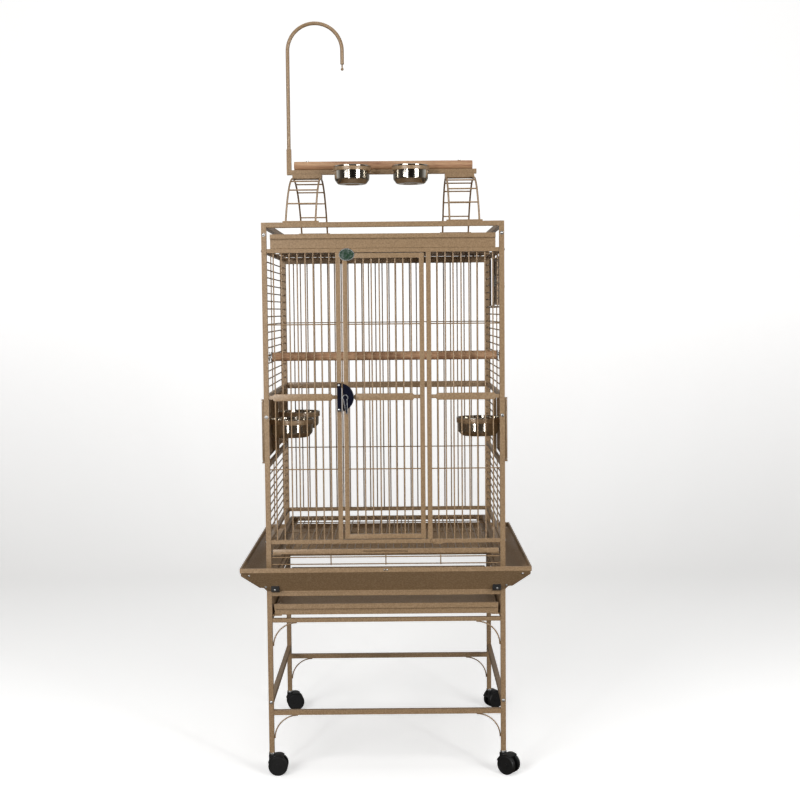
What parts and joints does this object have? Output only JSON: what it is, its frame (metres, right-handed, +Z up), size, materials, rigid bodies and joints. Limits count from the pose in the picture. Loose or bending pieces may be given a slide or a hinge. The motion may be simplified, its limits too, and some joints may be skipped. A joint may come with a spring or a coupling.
{
  "type": "bird cage on stand",
  "caption": "Play-top parrot cage with barred walls, hinged doors, cups, perches, seed skirt and pull-out trays on a stand with swivel casters.",
  "frame": {"origin": "on the floor under the middle of the cage", "axes": "+X to the right seen from the door, +Y to the back, +Z up"},
  "size_m": [0.732, 0.685, 1.9702],
  "materials": {
    "sandstone_coat": "hammered satin powder coat in a sandstone tan",
    "bright_steel": "bright zinc and chrome plating",
    "stainless_steel": "polished stainless steel",
    "perch_wood": "sanded reddish hardwood dowel",
    "navy_plastic": "moulded dark navy plastic",
    "black_nylon": "moulded black nylon"
  },
  "bodies": {
    "frame": {"corner_posts": "sandstone_coat", "top_rails": "sandstone_coat", "roof_rails": "sandstone_coat", "roof_bars": "sandstone_coat", "front_left_bars": "sandstone_coat", "front_right_bars": "sandstone_coat", "door_jambs": "sandstone_coat", "cage_bottom_rails": "sandstone_coat", "side_rails": "sandstone_coat", "back_bars": "sandstone_coat", "left_side_bars": "sandstone_coat", "right_side_bars": "sandstone_coat", "door_hinge_pins": "sandstone_coat", "lock_keeper": "navy_plastic", "tray_runners": "sandstone_coat", "grate_guard": "sandstone_coat", "skirt_front": "sandstone_coat", "skirt_back": "sandstone_coat", "skirt_left": "sandstone_coat", "skirt_right": "sandstone_coat", "skirt_fixings": "bright_steel", "stand_upper_rails": "sandstone_coat", "stand_lower_rails": "sandstone_coat", "corner_gussets": "sandstone_coat", "frame_bolts": "bright_steel", "caster_collars": "bright_steel", "left_ladder": "sandstone_coat", "right_ladder": "sandstone_coat", "perch_tube": "sandstone_coat", "play_perch": "perch_wood", "perch_bolts": "bright_steel", "play_cup_rings": "sandstone_coat", "inside_perch": "perch_wood"},
    "front_door": {"front_door": "sandstone_coat", "lock_housing": "navy_plastic", "badge_plate": "bright_steel"},
    "lock_lever": {"lock_lever": "bright_steel"},
    "feeder_door_left_front": {"feeder_door_left_front": "sandstone_coat"},
    "feeder_door_left_rear": {"feeder_door_left_rear": "sandstone_coat"},
    "feeder_door_right": {"feeder_door_right": "sandstone_coat"},
    "feeder_cup_left_front": {"feeder_cup_left_front": "stainless_steel"},
    "feeder_cup_left_rear": {"feeder_cup_left_rear": "stainless_steel"},
    "feeder_cup_right": {"feeder_cup_right": "stainless_steel"},
    "nest_door": {"nest_door": "sandstone_coat"},
    "nest_latch": {"nest_latch": "bright_steel"},
    "grate": {"grate": "sandstone_coat"},
    "grate_lock_tab": {"grate_lock_tab": "sandstone_coat"},
    "bottom_tray": {"bottom_tray": "sandstone_coat"},
    "play_tray": {"play_tray": "sandstone_coat"},
    "play_cup_left": {"play_cup_left": "stainless_steel"},
    "play_cup_right": {"play_cup_right": "stainless_steel"},
    "toy_hook": {"toy_hook": "sandstone_coat"},
    "caster_front_left": {"caster_front_left": "black_nylon"},
    "caster_front_right": {"caster_front_right": "black_nylon"},
    "caster_back_left": {"caster_back_left": "black_nylon"},
    "caster_back_right": {"caster_back_right": "black_nylon"},
    "wheels_front_left": {"wheels_front_left": "black_nylon"},
    "wheels_front_right": {"wheels_front_right": "black_nylon"},
    "wheels_back_left": {"wheels_back_left": "black_nylon"},
    "wheels_back_right": {"wheels_back_right": "black_nylon"}
  },
  "joints": [
    {"name": "front_door_hinge", "type": "hinge", "parent": "frame", "child": "front_door", "pos_m": [0.0965, -0.27315, 0.9745], "axis": [0, 0, 1], "range_deg": [0, 115]},
    {"name": "lock_lever_turn", "type": "hinge", "parent": "front_door", "child": "lock_lever", "pos_m": [-0.0982, -0.28415, 0.9745], "axis": [0, -1, 0], "range_deg": [0, 90]},
    {"name": "feeder_door_right_hinge", "type": "hinge", "parent": "frame", "child": "feeder_door_right", "pos_m": [0.30925, -0.254, 0.88775], "axis": [0, 0, -1], "range_deg": [0, 150]},
    {"name": "feeder_door_left_front_hinge", "type": "hinge", "parent": "frame", "child": "feeder_door_left_front", "pos_m": [-0.30925, -0.254, 0.88775], "axis": [0, 0, 1], "range_deg": [0, 150]},
    {"name": "feeder_door_left_rear_hinge", "type": "hinge", "parent": "frame", "child": "feeder_door_left_rear", "pos_m": [-0.30925, 0.254, 0.88775], "axis": [0, 0, -1], "range_deg": [0, 150]},
    {"name": "feeder_cup_right_lift", "type": "slide", "parent": "feeder_door_right", "child": "feeder_cup_right", "axis": [0, 0, 1], "range_m": [0, 0.048]},
    {"name": "feeder_cup_left_front_lift", "type": "slide", "parent": "feeder_door_left_front", "child": "feeder_cup_left_front", "axis": [0, 0, 1], "range_m": [0, 0.048]},
    {"name": "feeder_cup_left_rear_lift", "type": "slide", "parent": "feeder_door_left_rear", "child": "feeder_cup_left_rear", "axis": [0, 0, 1], "range_m": [0, 0.048]},
    {"name": "nest_door_hinge", "type": "hinge", "parent": "frame", "child": "nest_door", "pos_m": [0.30925, 0.14941, 1.2695], "axis": [0, 0, 1], "range_deg": [0, 150]},
    {"name": "nest_latch_turn", "type": "hinge", "parent": "nest_door", "child": "nest_latch", "pos_m": [0.30925, -0.115, 1.2565], "axis": [1, 0, 0], "range_deg": [0, 90]},
    {"name": "grate_slide", "type": "slide", "parent": "frame", "child": "grate", "axis": [0, -1, 0], "range_m": [0, 0.48]},
    {"name": "grate_lock_tab_turn", "type": "hinge", "parent": "frame", "child": "grate_lock_tab", "pos_m": [0.122, -0.2794, 0.60525], "axis": [0, -1, 0], "range_deg": [-90, 0]},
    {"name": "bottom_tray_slide", "type": "slide", "parent": "frame", "child": "bottom_tray", "axis": [0, -1, 0], "range_m": [0, 0.48]},
    {"name": "play_tray_slide", "type": "slide", "parent": "frame", "child": "play_tray", "axis": [0, -1, 0], "range_m": [0, 0.48]},
    {"name": "play_cup_left_lift", "type": "slide", "parent": "frame", "child": "play_cup_left", "axis": [0, 0, 1], "range_m": [0, 0.08]},
    {"name": "play_cup_right_lift", "type": "slide", "parent": "frame", "child": "play_cup_right", "axis": [0, 0, 1], "range_m": [0, 0.08]},
    {"name": "toy_hook_turn", "type": "hinge", "parent": "frame", "child": "toy_hook", "pos_m": [-0.2553, 0, 1.60367], "axis": [0, 0, 1], "continuous": true},
    {"name": "caster_front_left_swivel", "type": "hinge", "parent": "frame", "child": "caster_front_left", "pos_m": [-0.29865, -0.27315, 0.06], "axis": [0, 0, 1], "continuous": true},
    {"name": "wheels_front_left_spin", "type": "hinge", "parent": "caster_front_left", "child": "wheels_front_left", "pos_m": [-0.28265, -0.27315, 0.025], "axis": [0, 1, 0], "continuous": true},
    {"name": "caster_front_right_swivel", "type": "hinge", "parent": "frame", "child": "caster_front_right", "pos_m": [0.29865, -0.27315, 0.06], "axis": [0, 0, 1], "continuous": true},
    {"name": "wheels_front_right_spin", "type": "hinge", "parent": "caster_front_right", "child": "wheels_front_right", "pos_m": [0.31126, -0.283, 0.025], "axis": [0.6157, 0.788, 0], "continuous": true},
    {"name": "caster_back_left_swivel", "type": "hinge", "parent": "frame", "child": "caster_back_left", "pos_m": [-0.29865, 0.27315, 0.06], "axis": [0, 0, 1], "continuous": true},
    {"name": "wheels_back_left_spin", "type": "hinge", "parent": "caster_back_left", "child": "wheels_back_left", "pos_m": [-0.283, 0.27648, 0.025], "axis": [-0.2079, 0.9781, 0], "continuous": true},
    {"name": "caster_back_right_swivel", "type": "hinge", "parent": "frame", "child": "caster_back_right", "pos_m": [0.29865, 0.27315, 0.06], "axis": [0, 0, 1], "continuous": true},
    {"name": "wheels_back_right_spin", "type": "hinge", "parent": "caster_back_right", "child": "wheels_back_right", "pos_m": [0.31251, 0.28115, 0.025], "axis": [-0.5, 0.866, 0], "continuous": true}
  ]
}
